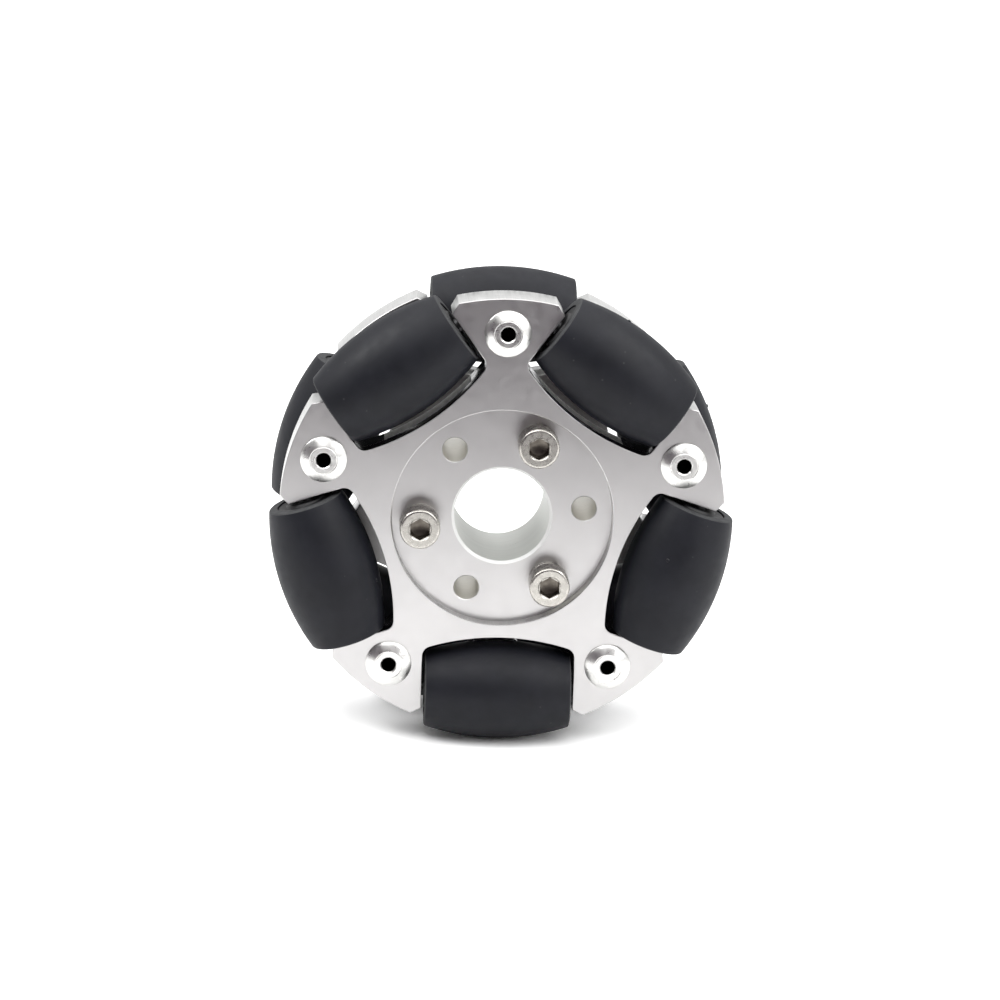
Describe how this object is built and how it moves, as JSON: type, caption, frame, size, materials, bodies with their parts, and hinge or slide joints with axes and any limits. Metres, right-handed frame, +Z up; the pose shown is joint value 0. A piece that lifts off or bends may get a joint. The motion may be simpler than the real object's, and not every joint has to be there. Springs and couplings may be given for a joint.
{
  "type": "omni wheel",
  "caption": "Double-row omni wheel: two clamped aluminium rows of free-turning rubber barrel rollers, with a round shaft bore and a ring of hub holes.",
  "frame": {"origin": "centre of the wheel: on the bore axis, midway between the two rows", "axes": "the wheel turns about +Y; the front face, with the screw heads, faces -Y; +Z is up when it stands on its rollers"},
  "size_m": [0.06, 0.026, 0.06],
  "materials": {
    "aluminium": "fine satin, anodised after machining",
    "rivet_metal": "bright, formed",
    "steel": "smooth plated steel",
    "rubber": "matt moulded",
    "nylon": "moulded"
  },
  "bodies": {
    "hub": {"front_hub_body": "aluminium", "front_cover_plate": "aluminium", "front_rivet_1": "rivet_metal", "front_rivet_2": "rivet_metal", "front_rivet_3": "rivet_metal", "front_rivet_4": "rivet_metal", "front_rivet_5": "rivet_metal", "back_hub_body": "aluminium", "back_cover_plate": "aluminium", "back_rivet_1": "rivet_metal", "back_rivet_2": "rivet_metal", "back_rivet_3": "rivet_metal", "back_rivet_4": "rivet_metal", "back_rivet_5": "rivet_metal", "clamp_screw_1": "steel", "clamp_screw_2": "steel", "clamp_screw_3": "steel", "spring_washer_1": "steel", "spring_washer_2": "steel", "spring_washer_3": "steel", "clamp_nut_1": "steel", "clamp_nut_2": "steel", "clamp_nut_3": "steel", "front_roller_1_axle": "steel", "front_roller_2_axle": "steel", "front_roller_3_axle": "steel", "front_roller_4_axle": "steel", "front_roller_5_axle": "steel", "back_roller_1_axle": "steel", "back_roller_2_axle": "steel", "back_roller_3_axle": "steel", "back_roller_4_axle": "steel", "back_roller_5_axle": "steel"},
    "front_roller_1": {"front_roller_1_tyre": "rubber", "front_roller_1_core": "nylon"},
    "front_roller_2": {"front_roller_2_tyre": "rubber", "front_roller_2_core": "nylon"},
    "front_roller_3": {"front_roller_3_tyre": "rubber", "front_roller_3_core": "nylon"},
    "front_roller_4": {"front_roller_4_tyre": "rubber", "front_roller_4_core": "nylon"},
    "front_roller_5": {"front_roller_5_tyre": "rubber", "front_roller_5_core": "nylon"},
    "back_roller_1": {"back_roller_1_tyre": "rubber", "back_roller_1_core": "nylon"},
    "back_roller_2": {"back_roller_2_tyre": "rubber", "back_roller_2_core": "nylon"},
    "back_roller_3": {"back_roller_3_tyre": "rubber", "back_roller_3_core": "nylon"},
    "back_roller_4": {"back_roller_4_tyre": "rubber", "back_roller_4_core": "nylon"},
    "back_roller_5": {"back_roller_5_tyre": "rubber", "back_roller_5_core": "nylon"}
  },
  "joints": [
    {"name": "front_roller_1_spin", "type": "hinge", "parent": "hub", "child": "front_roller_1", "pos_m": [0.01387, -0.0066, 0.01909], "axis": [0.809, 0, -0.5878], "continuous": true},
    {"name": "front_roller_2_spin", "type": "hinge", "parent": "hub", "child": "front_roller_2", "pos_m": [0.02244, -0.0066, -0.00729], "axis": [-0.309, 0, -0.9511], "continuous": true},
    {"name": "front_roller_3_spin", "type": "hinge", "parent": "hub", "child": "front_roller_3", "pos_m": [0, -0.0066, -0.0236], "axis": [-1, 0, 0], "continuous": true},
    {"name": "front_roller_4_spin", "type": "hinge", "parent": "hub", "child": "front_roller_4", "pos_m": [-0.02244, -0.0066, -0.00729], "axis": [-0.309, 0, 0.9511], "continuous": true},
    {"name": "front_roller_5_spin", "type": "hinge", "parent": "hub", "child": "front_roller_5", "pos_m": [-0.01387, -0.0066, 0.01909], "axis": [0.809, 0, 0.5878], "continuous": true},
    {"name": "back_roller_1_spin", "type": "hinge", "parent": "hub", "child": "back_roller_1", "pos_m": [0.02244, 0.0066, 0.00729], "axis": [0.309, 0, -0.9511], "continuous": true},
    {"name": "back_roller_2_spin", "type": "hinge", "parent": "hub", "child": "back_roller_2", "pos_m": [0, 0.0066, 0.0236], "axis": [1, 0, 0], "continuous": true},
    {"name": "back_roller_3_spin", "type": "hinge", "parent": "hub", "child": "back_roller_3", "pos_m": [-0.02244, 0.0066, 0.00729], "axis": [0.309, 0, 0.9511], "continuous": true},
    {"name": "back_roller_4_spin", "type": "hinge", "parent": "hub", "child": "back_roller_4", "pos_m": [-0.01387, 0.0066, -0.01909], "axis": [-0.809, 0, 0.5878], "continuous": true},
    {"name": "back_roller_5_spin", "type": "hinge", "parent": "hub", "child": "back_roller_5", "pos_m": [0.01387, 0.0066, -0.01909], "axis": [-0.809, 0, -0.5878], "continuous": true}
  ]
}
